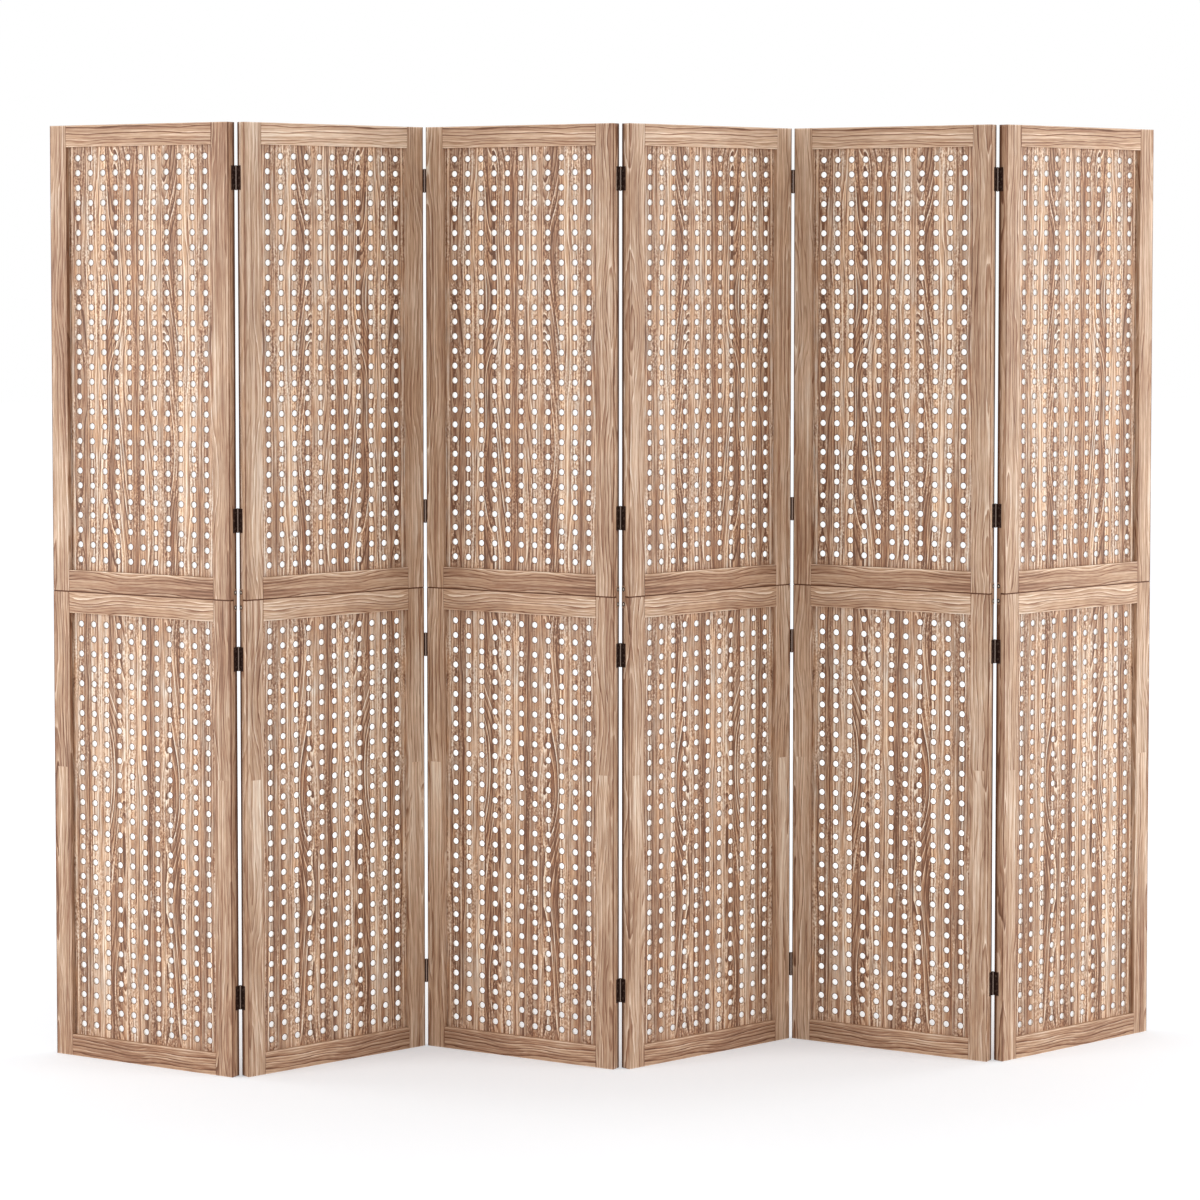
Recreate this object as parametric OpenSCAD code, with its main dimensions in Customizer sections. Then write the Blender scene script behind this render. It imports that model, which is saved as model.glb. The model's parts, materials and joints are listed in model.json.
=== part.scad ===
// Six-leaf folding screen. Each leaf is a lower and an upper frame with a drilled pegboard in
// each, screwed together by plates at the seam, and neighbouring leaves turn on butt hinges.
// The screen stands in a zigzag on z = 0, its length along X and the viewer on the -Y side.

/* [Leaf] */
// Width of one leaf, over its stiles
leaf_w = 397; // [330:1:480]
// Height of the whole screen
leaf_h = 1700; // [1500:1:1900]
// Height of the lower half of a leaf
lower_h = 854; // [750:1:950]
// Thickness of the frames
leaf_t = 21; // [18:0.5:28]
// Gap left at the seam between the two halves
seam_gap = 0.2; // [0.1:0.05:0.5]

/* [Frame] */
// Width of a stile
stile_w = 37; // [32:0.5:60]
// Height of a rail
rail_h = 39; // [34:0.5:60]
// Radius of the long outer arrises of the stiles
arris_r = 2; // [1:0.1:3]
// Radius of every other arris of the frames
edge_r = 1; // [0.5:0.1:2]
// Thickness of a rail's tenon
tenon_t = 7; // [5:0.5:9]
// Length of a rail's tenon
tenon_l = 20; // [12:0.5:22]
// Wood left between a tenon and the rail's outer edge
tenon_haunch = 8; // [5:0.5:10]
// Wood left between a tenon and the pegboard's groove
tenon_web = 2; // [1.5:0.5:4]
// Clearance round a tenon in its mortise
mortise_clear = 0.1; // [0.05:0.05:0.3]

/* [Pegboard] */
// Thickness of a pegboard
board_t = 3; // [3:0.5:6]
// Depth of the groove that holds a pegboard
groove_depth = 8; // [5:0.5:10]
// Clearance on each face of a pegboard in its groove
board_play = 0.1; // [0.05:0.05:0.25]
// Clearance at the edges of a pegboard in its groove
board_inset = 0.3; // [0.2:0.1:1]
// Diameter of a peg hole
hole_d = 11; // [6:0.1:13]
// Columns of peg holes in one board
hole_cols = 11; // [6:1:14]
// Rows of peg holes in one board
hole_rows = 28; // [16:1:32]
// Distance from the frame to the centres of the outer peg holes
hole_margin = 20; // [14:0.5:30]

/* [Fold] */
// Angle that each leaf turns from its neighbour, 0 with the screen flat
fold_angle = 70; // [40:1:100]

/* [Hinges] */
// Height of a hinge
hinge_h = 43; // [36:0.5:55]
// Width of a hinge flap, from the pin's axis to its far edge
flap_w = 13; // [11.5:0.1:16]
// Thickness of a hinge flap
flap_t = 1; // [0.8:0.1:1.5]
// Gap between the two flaps of a hinge with the screen flat
flap_gap = 0.4; // [0.3:0.1:0.6]
// Outer diameter of the knuckles
knuckle_d = 5; // [4.6:0.1:6]
// Knuckles in one hinge
knuckles = 5; // [3:2:7]
// Gap between two knuckles along the pin
knuckle_gap = 0.2; // [0.1:0.05:0.4]
// Clearance round the knuckles
knuckle_clear = 0.3; // [0.2:0.05:0.5]
// Diameter of the hinge pin
pin_d = 2.4; // [2:0.1:3]
// Radial running clearance of the hinge pin
pin_clear = 0.05; // [0.02:0.01:0.1]
// Height of the domed head at each end of the pin
pin_head_h = 0.8; // [0.4:0.1:1.5]
// Height of the lower hinge of each half above the foot of that half
hinge_rise = 141; // [80:0.5:200]
// Distance from the top of the lower half down to its upper hinge
lower_hinge_drop = 105.5; // [75:0.5:200]
// Distance from the top of the screen down to the highest hinge
upper_hinge_drop = 98; // [75:0.5:200]

/* [Screws] */
// Diameter of a screw's countersunk head
head_d = 4.4; // [3.6:0.1:5]
// Diameter of a screw's shank
shank_d = 2.4; // [1.8:0.1:2.8]
// Length of a screw
screw_l = 13; // [9:0.5:14]
// Width of the arms of the cross recess in a screw's head
recess_w = 0.5; // [0.3:0.1:0.8]
// Depth of the cross recess
recess_depth = 0.6; // [0.3:0.1:0.9]
// Clearance round a screw in its hole
screw_clear = 0.05; // [0.02:0.01:0.1]
// Depth of a screw's hole past its point
screw_hole_extra = 0.5; // [0.2:0.1:1]
// Distance of the outer screws of a flap from its middle
flap_screw_rise = 14; // [12:0.5:15]
// How far a flap's screws stand to either side of their middle line
flap_screw_stagger = 1.2; // [0:0.1:1.6]

/* [Seam] */
// Length of a joining plate
joining_l = 40; // [34:0.5:60]
// Width of a joining plate
joining_w = 9; // [7:0.5:12]
// Thickness of a joining plate
joining_t = 1; // [0.8:0.1:1.5]
// Distance of a joining plate's screws from the seam
joining_screw_rise = 13.4; // [8:0.1:15]
// Diameter of the dowels that line up the two halves
dowel_d = 8; // [6:0.5:10]
// Length of a dowel
dowel_l = 40; // [24:1:44]
// Chamfer on the ends of a dowel
dowel_chamfer = 1; // [0.5:0.1:1.5]
// Distance from a stile to the middle of a dowel
dowel_inset = 50; // [20:1:100]
// Radial clearance of a dowel in its hole
dowel_clear = 0.1; // [0.05:0.05:0.2]
// Depth of a dowel's hole past its end
dowel_hole_extra = 0.5; // [0.2:0.1:1]

/* [Hidden] */
$fn = 48;
LEAVES = 6;
CUT = 1; // how far a cut runs past the face that it opens

upper_h = leaf_h - lower_h - seam_gap;
upper_z = lower_h + seam_gap;
HALVES = [[0, lower_h], [upper_z, upper_h]]; // foot and height of each half

board_span_x = leaf_w - 2 * stile_w;
groove_t = board_t + 2 * board_play;
board_x = stile_w - groove_depth + board_inset;
board_z = rail_h - groove_depth + board_inset;
tenon_h = rail_h - tenon_haunch - tenon_web - groove_depth;

knuckle_r = knuckle_d / 2;
pin_r = pin_d / 2;
hinge_gap = 2 * max(flap_t, joining_t) + flap_gap; // between two stiles, with the screen flat
axis_x = hinge_gap / 2; // from a stile's edge out to the pin
// The pin stands out from the face so far that the knuckles clear the rounded arrises.
axis_out = sqrt(pow(arris_r + knuckle_r + knuckle_clear, 2) - pow(arris_r + axis_x, 2)) - arris_r;
knuckle_l = (hinge_h - (knuckles - 1) * knuckle_gap) / knuckles;
flap_reach = flap_w - axis_out; // from the leaf's face to the flap's far edge
flap_screw_line = (arris_r + flap_reach) / 2;
hinge_z = [hinge_rise, lower_h - lower_hinge_drop, upper_z + hinge_rise, leaf_h - upper_hinge_drop];

head_r = head_d / 2;
shank_r = shank_d / 2;
head_h = head_r - shank_r; // a countersink of 90 degrees
tip_h = 2 * shank_r;
seam_z = lower_h + seam_gap / 2;

// The six leaves in plan: joint j lies between leaves j and j + 1. The pins of the odd joints
// are behind the screen and those of the even joints in front of it.
half_fold = fold_angle / 2;
pin_span = leaf_t + 2 * axis_out;
step_x = (leaf_w + hinge_gap) * cos(half_fold) + pin_span * sin(half_fold);
step_y = (leaf_w + hinge_gap) * sin(half_fold) - pin_span * cos(half_fold);
function is_odd(n) = n % 2 == 1;
function pin_side(j) = is_odd(j) ? 1 : -1; // 1 behind the leaves, -1 in front
function joint_xy(j) = [(j - LEAVES / 2) * step_x, -pin_side(j) * step_y / 2];
function heading(i) = is_odd(i) ? -half_fold : half_fold;

LEAF_PIECES = ["stiles", "rails", "lower_pegboard", "upper_pegboard", "joining_plates", "screws", "dowels"];
HINGE_PIECES = ["left_flaps", "right_flaps", "pins"];
function leaf_node(i, piece) = str("leaf_", i, "_", piece);
function hinge_node(j, piece) = str("hinge_", j, "_", j + 1, "_", piece);

// ---- Placing ----

module flip_if(yes, axis) {
    if (yes) mirror(axis) children();
    else children();
}

// Puts a leaf, drawn from its left edge along +X with its front on the -Y side, in the zigzag.
module in_leaf(i) {
    side = pin_side(i - 1);
    xy = joint_xy(i - 1);
    translate([xy[0], xy[1], 0]) rotate([0, 0, heading(i)])
        translate([axis_x, -side * (leaf_t / 2 + axis_out), 0]) children();
}

// Draws on one edge of a leaf: +X out of the edge, +Y from the face on that side into the leaf.
module on_edge(right, behind) {
    translate([right ? leaf_w : 0, (behind ? 1 : -1) * leaf_t / 2, 0])
        flip_if(!right, [1, 0, 0]) flip_if(behind, [0, 1, 0]) children();
}

// ---- Wood sections ----

// A rectangle with its own radius at the corners of its low X side and of its high X side.
module rounded_section(x, y, low_r, high_r) {
    r = max(low_r, high_r);
    translate([low_r, 0]) square([x - low_r - high_r, y]);
    for (end = [[low_r, low_r, 0], [x - high_r, high_r, 1]]) {
        for (corner_y = [end[1], y - end[1]]) translate([end[0], corner_y]) circle(end[1]);
        translate([end[2] == 0 ? 0 : x - r, end[1]]) square([r, y - 2 * end[1]]);
    }
}

// One stile, its outer edge on x = 0, its arrises and its two ends rounded.
module stile_blank(h) {
    intersection() {
        translate([0, -leaf_t / 2, 0]) linear_extrude(h) rounded_section(stile_w, leaf_t, arris_r, edge_r);
        translate([0, leaf_t / 2, 0]) rotate([90, 0, 0]) linear_extrude(leaf_t) free_end_outline(h);
        translate([0, -leaf_t / 2, 0]) rotate([90, 0, 90]) linear_extrude(stile_w)
            rounded_section(leaf_t, h, edge_r, edge_r);
    }
}

// The face view of a stile, with rounded corners on its outer edge only.
module free_end_outline(h) {
    translate([arris_r, 0]) square([stile_w - arris_r, h]);
    translate([0, arris_r]) square([arris_r, h - 2 * arris_r]);
    for (z = [arris_r, h - arris_r]) translate([arris_r, z]) circle(arris_r);
}

module groove_in_stile(h) {
    translate([stile_w - groove_depth, -groove_t / 2, rail_h - groove_depth])
        cube([groove_depth + CUT, groove_t, h - 2 * (rail_h - groove_depth)]);
}

// The space of a tenon of the rail at the foot of a frame, grown by a clearance.
module tenon(clear) {
    translate([stile_w - tenon_l - clear, -tenon_t / 2 - clear, tenon_haunch - clear])
        cube([tenon_l + clear + (clear > 0 ? CUT : 0), tenon_t + 2 * clear, tenon_h + 2 * clear]);
}

module stile(h) {
    difference() {
        stile_blank(h);
        groove_in_stile(h);
        tenon(mortise_clear);
        translate([0, 0, h]) mirror([0, 0, 1]) tenon(mortise_clear);
    }
}

// The rail at the foot of a frame, with its tenons and the pegboard's groove along its top.
module rail() {
    difference() {
        translate([stile_w, -leaf_t / 2, 0]) rotate([90, 0, 90]) linear_extrude(board_span_x)
            rounded_section(leaf_t, rail_h, edge_r, edge_r);
        translate([stile_w - CUT, -groove_t / 2, rail_h - groove_depth])
            cube([board_span_x + 2 * CUT, groove_t, groove_depth + CUT]);
    }
    tenon(0);
    translate([leaf_w, 0, 0]) mirror([1, 0, 0]) tenon(0);
}

// ---- Screws ----

// A countersunk wood screw, its head's face on z = 0 and its point down.
module screw_form(clear, extra_l) {
    rotate_extrude() polygon([
        [0, 0], [head_r + clear, 0], [shank_r + clear, -head_h],
        [shank_r + clear, -screw_l + tip_h - extra_l], [0, -screw_l - extra_l]
    ]);
}

module screw() {
    difference() {
        screw_form(0, 0);
        for (turn = [0, 90]) rotate([0, 0, turn])
            translate([-head_r * 0.6, -recess_w / 2, -recess_depth])
                cube([head_r * 1.2, recess_w, recess_depth + CUT]);
    }
}

// Where the screws of an edge go, in the edge's own frame: [from the face, height, plate].
function flap_screws() = [
    for (z = hinge_z) for (k = [-1:1])
        [flap_screw_line + flap_screw_stagger * (k == 0 ? 1 : -1), z + k * flap_screw_rise, flap_t]
];
function joining_screws() = [
    for (k = [-1, 1]) [arris_r + joining_w / 2, seam_z + k * joining_screw_rise, joining_t]
];

// Draws its children at each place of a list, with +Z out of the edge.
module at_screws(places) {
    for (p = places) translate([p[2], p[0], p[1]]) rotate([0, 90, 0]) children();
}

// Draws its children at every screw on one edge of leaf i.
module at_edge_screws(i, right) {
    joint = right ? i : i - 1;
    if (joint > 0 && joint < LEAVES)
        on_edge(right, pin_side(joint) == 1) at_screws(flap_screws()) children();
    on_edge(right, true) at_screws(joining_screws()) children();
}

module screw_hole() {
    screw_form(screw_clear, screw_hole_extra);
}

// ---- Pieces of a leaf ----

module stiles(i) {
    color("BurlyWood") in_leaf(i) for (half = HALVES) for (right = [false, true])
        difference() {
            translate([right ? leaf_w : 0, 0, half[0]]) flip_if(right, [1, 0, 0]) stile(half[1]);
            at_edge_screws(i, right) screw_hole();
        }
}

module rails(i) {
    color("Tan") in_leaf(i) for (half = HALVES) for (top = [false, true])
        difference() {
            translate([0, 0, half[0] + (top ? half[1] : 0)]) flip_if(top, [0, 0, 1]) rail();
            dowel_forms(dowel_clear, dowel_hole_extra);
        }
}

// A drilled board, its lower left corner on the origin and its face on the XZ plane.
module pegboard(h) {
    board_w = leaf_w - 2 * board_x;
    board_h = h - 2 * board_z;
    margin_x = stile_w - board_x + hole_margin;
    margin_z = rail_h - board_z + hole_margin;
    pitch_x = (board_w - 2 * margin_x) / (hole_cols - 1);
    pitch_z = (board_h - 2 * margin_z) / (hole_rows - 1);
    translate([board_x, board_t / 2, board_z]) rotate([90, 0, 0]) linear_extrude(board_t)
        difference() {
            square([board_w, board_h]);
            for (col = [0:hole_cols - 1]) for (row = [0:hole_rows - 1])
                translate([margin_x + col * pitch_x, margin_z + row * pitch_z]) circle(d = hole_d);
        }
}

module lower_pegboard(i) {
    color("Peru") in_leaf(i) pegboard(lower_h);
}

module upper_pegboard(i) {
    color("Peru") in_leaf(i) translate([0, 0, upper_z]) pegboard(upper_h);
}

module joining_plates(i) {
    color("SaddleBrown") in_leaf(i) for (right = [false, true])
        on_edge(right, true) difference() {
            translate([0, arris_r, seam_z - joining_l / 2]) rotate([90, 0, 90])
                linear_extrude(joining_t) rounded_section(joining_w, joining_l, arris_r, arris_r);
            at_screws(joining_screws()) screw_hole();
        }
}

module screws(i) {
    color("DimGray") in_leaf(i) for (right = [false, true]) at_edge_screws(i, right) screw();
}

// The two dowels, or the holes for them, across the seam between the inner rails.
module dowel_forms(clear, extra_l) {
    half_l = dowel_l / 2 + extra_l;
    r = dowel_d / 2 + clear;
    for (x = [stile_w + dowel_inset, leaf_w - stile_w - dowel_inset])
        translate([x, 0, seam_z]) rotate_extrude() polygon([
            [0, -half_l], [r - dowel_chamfer, -half_l], [r, -half_l + dowel_chamfer],
            [r, half_l - dowel_chamfer], [r - dowel_chamfer, half_l], [0, half_l]
        ]);
}

module dowels(i) {
    color("Wheat") in_leaf(i) dowel_forms(0, 0);
}

// ---- Hinges ----

// One flap with every second knuckle, on the edge of a leaf, its middle on z = 0.
module flap(first) {
    function knuckle_z(k) = -hinge_h / 2 + k * (knuckle_l + knuckle_gap);
    difference() {
        union() {
            difference() {
                translate([0, -axis_out, -hinge_h / 2]) cube([flap_t, flap_w, hinge_h]);
                for (k = [1 - first:2:knuckles - 1])
                    translate([axis_x, -axis_out, knuckle_z(k) - knuckle_gap])
                        cylinder(r = knuckle_r + knuckle_clear, h = knuckle_l + 2 * knuckle_gap);
            }
            for (k = [first:2:knuckles - 1])
                translate([axis_x, -axis_out, knuckle_z(k)]) cylinder(r = knuckle_r, h = knuckle_l);
        }
        translate([axis_x, -axis_out, -hinge_h / 2 - CUT])
            cylinder(r = pin_r + pin_clear, h = hinge_h + 2 * CUT);
    }
}

module flaps(joint, leaf, first) {
    in_leaf(leaf) on_edge(leaf == joint, pin_side(joint) == 1) difference() {
        for (z = hinge_z) translate([0, 0, z]) flap(first);
        at_screws(flap_screws()) screw_hole();
    }
}

module left_flaps(joint) {
    color("SaddleBrown") flaps(joint, joint, 0);
}

module right_flaps(joint) {
    color("SaddleBrown") flaps(joint, joint + 1, 1);
}

// The pin with a low domed head at each end.
module pins(joint) {
    dome_r = (pow(pin_r, 2) + pow(pin_head_h, 2)) / (2 * pin_head_h);
    color("Sienna") in_leaf(joint) on_edge(true, pin_side(joint) == 1)
        for (z = hinge_z) translate([axis_x, -axis_out, z]) {
            translate([0, 0, -hinge_h / 2]) cylinder(r = pin_r, h = hinge_h);
            for (up = [false, true]) flip_if(!up, [0, 0, 1]) intersection() {
                translate([0, 0, hinge_h / 2]) cylinder(r = pin_r, h = pin_head_h);
                translate([0, 0, hinge_h / 2 + pin_head_h - dome_r]) sphere(dome_r);
            }
        }
}

for (i = [1:LEAVES]) {
    stiles(i);
    rails(i);
    lower_pegboard(i);
    upper_pegboard(i);
    joining_plates(i);
    screws(i);
    dowels(i);
}
for (j = [1:LEAVES - 1]) {
    left_flaps(j);
    right_flaps(j);
    pins(j);
}
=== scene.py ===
import json
import math
from collections import namedtuple

import bpy
from bpy.props import FloatProperty, FloatVectorProperty, IntProperty, PointerProperty
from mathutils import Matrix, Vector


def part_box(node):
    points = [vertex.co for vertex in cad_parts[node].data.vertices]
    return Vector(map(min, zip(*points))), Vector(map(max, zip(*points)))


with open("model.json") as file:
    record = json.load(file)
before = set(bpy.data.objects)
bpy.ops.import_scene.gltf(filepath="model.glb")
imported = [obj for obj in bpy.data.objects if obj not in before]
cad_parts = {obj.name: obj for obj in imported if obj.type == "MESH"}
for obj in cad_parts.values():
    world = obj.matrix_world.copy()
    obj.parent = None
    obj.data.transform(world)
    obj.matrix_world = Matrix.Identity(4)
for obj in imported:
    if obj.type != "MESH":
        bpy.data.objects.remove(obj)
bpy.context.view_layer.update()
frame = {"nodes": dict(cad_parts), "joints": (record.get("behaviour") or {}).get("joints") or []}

bl_info = {
    "name": "Folding Pegboard Screen",
    "version": (1, 0, 0),
    "blender": (4, 5, 0),
    "location": "3D View > Sidebar > Folding Screen",
    "description": "Dresses a folding pegboard screen in limed wood with bronzed hinges",
    "category": "Object",
}

LEAVES = 6
MM = 0.001
# Half the turn from leaf to leaf as the screen stands. A joint's lower limit is where that turn is gone.
HALF_FOLD = math.radians(-frame["joints"][0]["range_deg"][0]) / 2


def srgb(red, green, blue):
    """A colour as it looks on a screen, 0 to 255, as the linear values that Blender works in."""
    def linear(level):
        share = level / 255
        return share / 12.92 if share <= 0.04045 else ((share + 0.055) / 1.055) ** 2.4
    return linear(red), linear(green), linear(blue)


def length(name, description, default):
    """A length that shows in the sidebar."""
    return FloatProperty(name=name, description=description, default=default, unit="LENGTH", precision=5)


def angle(name, description, degrees):
    """An angle that shows in the sidebar."""
    return FloatProperty(
        name=name, description=description, default=math.radians(degrees), subtype="ANGLE", unit="ROTATION")


def power(name, description, default):
    """A lamp's power that shows in the sidebar."""
    return FloatProperty(name=name, description=description, default=default, unit="POWER")


def colour(name, description, default):
    """A colour that shows in the sidebar."""
    return FloatVectorProperty(
        name=name, description=description, default=default, subtype="COLOR", size=3, min=0, max=1)


class ScreenSizes(bpy.types.PropertyGroup):
    """The sizes of a leaf that its grain and its holes follow."""
    leaf_width: length("Leaf width", "Width of one leaf over its stiles", 0.397)
    leaf_thickness: length("Leaf thickness", "Thickness of the frames", 0.021)
    stile_width: length("Stile width", "Width of a stile", 0.037)
    rail_height: length("Rail height", "Height of a rail", 0.039)
    # This reach also sets the painted shade on the stiles' outer arrises and the painted highlight on the
    # rails' arrises by the boards.
    arris: length("Arris", "How far the worn arrises of the frames reach", 0.0022)
    seam_height: length("Seam height", "Height of the seam between the two halves", 0.8541)
    screen_height: length("Screen height", "Height of the screen", 1.7)
    hole_margin: length("Hole margin", "Distance from the frame to the outer holes' middles", 0.02)
    hole_diameter: length("Hole diameter", "Diameter of a peg hole", 0.011)
    hole_columns: IntProperty(name="Hole columns", description="Columns of holes in a board", default=11)
    hole_rows: IntProperty(name="Hole rows", description="Rows of holes in a board", default=28)
    knuckle_diameter: length("Knuckle diameter", "Outer diameter of a hinge's knuckles", 0.005)
    plate_screw_rise: length("Plate screw rise", "Height of a joining plate's screws from the seam", 0.0134)
    plate_screw_depth: length("Plate screw depth", "Distance of those screws from the back", 0.0065)
    joint_height: length("Finger joint", "Height of the glued joint in the lower stiles", 0.532)
    stile_rings: length("Stile rings", "Distance between the growth lines of a stile", 0.0062)
    rail_rings: length("Rail rings", "Distance between the growth lines of a rail", 0.0058)
    board_rings: length("Board rings", "Distance between the growth lines of a pegboard", 0.0065)


class ScreenColours(bpy.types.PropertyGroup):
    """The finishes of the screen."""
    umber: colour("Umber", "The darkest growth lines", srgb(108, 70, 47))
    brown: colour("Brown", "Dark wood between the lines", srgb(154, 113, 87))
    tan: colour("Tan", "Plain limed wood", srgb(190, 156, 128))
    sand: colour("Sand", "Light limed wood", srgb(223, 194, 170))
    cream: colour("Cream", "The palest growth lines", srgb(247, 230, 210))
    cut_board: colour("Cut board", "Limed fibre in the peg holes", srgb(242, 232, 220))
    bronze: colour("Bronze", "Flaps of the hinges", srgb(62, 40, 33))
    # This colour also paints a highlight along the knuckles of the hinges.
    rub_and_highlight_bronze: colour("Rubbed bronze", "Where a hinge is rubbed bright", srgb(186, 164, 150))
    steel: colour("Screw steel", "Heads of the screws", srgb(112, 92, 80))
    # The next two colours paint the shade round the screws in the joining plates and a highlight in their
    # middles.
    screw_shade: colour("Screw ring", "Bronzed rims of the screws in the joining plates", srgb(40, 28, 24))
    screw_highlight: colour("Bright screw", "Middles of those screws", srgb(236, 222, 206))
    plate: colour("Plate brown", "Joining plates at the seam", srgb(178, 142, 116))
    beech: colour("Beech", "Dowels between the halves", srgb(222, 190, 150))


class StageSetup(bpy.types.PropertyGroup):
    """The camera, the lamps and the floor."""
    camera_place: FloatVectorProperty(
        name="Camera place", description="Where the camera stands", default=(-0.6029, -6.3607, 1.4546),
        subtype="XYZ", unit="LENGTH", size=3)
    camera_turn: angle("Camera turn", "Turn of the camera to the right", 5.171)
    camera_tilt: angle("Camera tilt", "Tilt of the camera below the level", 3)
    lens: FloatProperty(name="Lens", description="Focal length", default=105.47, unit="CAMERA")
    rise: FloatProperty(name="Vertical shift", description="Shift that lowers the view", default=-0.12869)
    daylight: FloatProperty(name="Daylight", description="Strength of the even light", default=0.72)
    left_power: power("Left power", "Power of the front lamp on the left", 116)
    right_power: power("Right power", "Power of the front lamp on the right", 120.64)
    back_power: power("Back power", "Power of each back lamp", 80)
    lamp_aside: length("Lamp aside", "Distance of the lamps to the sides of the screen's middle", 5.4)
    lamp_forward: length("Lamp forward", "Distance of the lamps before and behind that middle", 2.1)
    lamp_rise: length("Lamp rise", "Height of the lamps' middles", 1.6)
    lamp_aim: length("Lamp aim", "Height of the place that the lamps face", 0.85)
    lamp_width: length("Lamp width", "Width of a lamp", 2.2)
    lamp_height: length("Lamp height", "Height of a lamp", 3.2)
    floor_size: length("Floor size", "Length and width of the floor", 60)
    floor_paint: colour("Floor paint", "Colour of the floor", (0.8, 0.8, 0.8))
    floor_glow: colour("Floor glow", "Tint of the light that the floor gives of itself", (0.88, 0.93, 1))
    near_floor: FloatProperty(
        name="Near floor", description="Strength of that light round the screen's shadow", default=0.31)
    backdrop: FloatProperty(
        name="Backdrop", description="Strength of that light on the far floor", default=0.50)
    near_end: length("Near end", "Where the near floor ends, from the screen's middle", 1.2)
    far_start: length("Far start", "Where the far floor starts, from the screen's middle", 2.6)


# ---- Nodes ----

def add_node(tree, kind, values=None, **settings):
    """Adds a node, sets its options, and gives its inputs their values or their links."""
    node = tree.nodes.new(kind)
    for name, value in settings.items():
        setattr(node, name, value)
    for socket, value in (values or {}).items():
        if isinstance(value, bpy.types.NodeSocket):
            tree.links.new(value, node.inputs[socket])
        else:
            node.inputs[socket].default_value = value
    return node


def calculate(tree, operation, *values):
    """A Math node's result."""
    return add_node(tree, "ShaderNodeMath", dict(enumerate(values)), operation=operation).outputs[0]


def add_up(tree, first, *terms):
    """The first value plus each (value, factor) pair."""
    total = first
    for value, factor in terms:
        total = calculate(tree, "MULTIPLY_ADD", value, factor, total)
    return total


def multiply(tree, first, *factors):
    """The product of several values."""
    total = first
    for factor in factors:
        total = calculate(tree, "MULTIPLY", total, factor)
    return total


def smooth_step(tree, value, zero, one):
    """0 at zero and past it, 1 at one and past it, and a smooth step between. Either may be the larger."""
    return add_node(
        tree, "ShaderNodeMapRange", {"Value": value, "From Min": zero, "From Max": one},
        interpolation_type="SMOOTHSTEP").outputs[0]


def straight_step(tree, value, zero, one):
    """Like smooth_step, with a straight line between the two."""
    return add_node(
        tree, "ShaderNodeMapRange", {"Value": value, "From Min": zero, "From Max": one}).outputs[0]


def object_place(tree):
    """The place of a point on its object."""
    return add_node(tree, "ShaderNodeTexCoord").outputs["Object"]


def take_apart(tree, vector):
    """The X, Y and Z of a vector."""
    return add_node(tree, "ShaderNodeSeparateXYZ", {0: vector}).outputs


def put_together(tree, x, y, z):
    """A vector from its X, Y and Z."""
    return add_node(tree, "ShaderNodeCombineXYZ", {0: x, 1: y, 2: z}).outputs[0]


def depth_within(tree, reach, value):
    """How far a place lies inside two faces that stand a reach away on both sides of 0."""
    return calculate(tree, "SUBTRACT", reach, calculate(tree, "ABSOLUTE", value))


def opaque(shade):
    """A colour with the alpha that colour sockets ask for."""
    return (*shade, 1)


def mix_colours(tree, share, first, second, blend="MIX"):
    """The first colour where the share is 0, and where it is 1 the second one, or the two blended."""
    return add_node(
        tree, "ShaderNodeMix", {0: share, 6: first, 7: second}, data_type="RGBA", blend_type=blend).outputs[2]


def colour_ramp(tree, position, interpolation, stops):
    """The colour and the alpha of a ramp of (place from 0 to 1, colour) stops."""
    node = add_node(tree, "ShaderNodeValToRGB", {0: position})
    ramp = node.color_ramp
    ramp.interpolation = interpolation
    for place, shade in stops[1:-1]:
        ramp.elements.new(place).color = shade
    for element, (place, shade) in ((ramp.elements[0], stops[0]), (ramp.elements[-1], stops[-1])):
        element.position = place
        element.color = shade
    return node.outputs


def stretched_noise(tree, vector, scale, seed, detail, roughness=0.5):
    """Noise from -0.5 to 0.5 whose features are 1 / scale long along each axis."""
    spread = add_node(tree, "ShaderNodeVectorMath", {0: vector, 1: scale}, operation="MULTIPLY").outputs[0]
    noise = add_node(
        tree, "ShaderNodeTexNoise",
        {"Vector": spread, "W": seed, "Scale": 1.0, "Detail": detail, "Roughness": roughness},
        noise_dimensions="4D")
    return calculate(tree, "SUBTRACT", noise.outputs[0], 0.5)


def hashed(tree, value):
    """A fixed random number from 0 to 1 for each value."""
    return add_node(tree, "ShaderNodeTexWhiteNoise", {"W": value}, noise_dimensions="1D").outputs[0]


def new_group(name, inputs, outputs, output_kind="Float"):
    """A shader node group; inputs are (name, kind, default), and outputs are names of one kind."""
    group = bpy.data.node_groups.new(name, "ShaderNodeTree")
    for socket_name, kind, default in inputs:
        socket = group.interface.new_socket(
            name=socket_name, in_out="INPUT", socket_type="NodeSocket" + kind)
        if default is not None:
            socket.default_value = default
    for socket_name in outputs:
        group.interface.new_socket(
            name=socket_name, in_out="OUTPUT", socket_type="NodeSocket" + output_kind)
    start = group.nodes.new("NodeGroupInput")
    end = group.nodes.new("NodeGroupOutput")
    return group, start.outputs, end.inputs


def use_group(tree, name, values):
    """Places a node group in a tree and returns its outputs."""
    return add_node(tree, "ShaderNodeGroup", values, node_tree=bpy.data.node_groups[name]).outputs


def weighed(outputs, weights):
    """The (value, factor) pairs of a group's outputs, for add_up."""
    return [(outputs[name], weight) for name, weight in weights.items()]


# ---- Effects that several finishes share ----

# How many features a metre of the growth lines' drift, their wander and their ripple hold. The first two
# take their number along the grain from Reach.
DRIFT_SCALE = (3.0, 10.0)
WANDER_SCALE = (30.0, 30.0)
RIPPLE_SCALE = (110.0, 110.0, 14.0)
# Where in a growth ring, from 0 to 1, a mark is 0 and where it is full: the dark line as it rises and as it
# ends, and the pale wood that a ring starts with.
RING_RISE = (0.52, 0.90)
RING_END = (1.0, 0.93)
RING_PALE = (0.36, 0.04)
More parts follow.
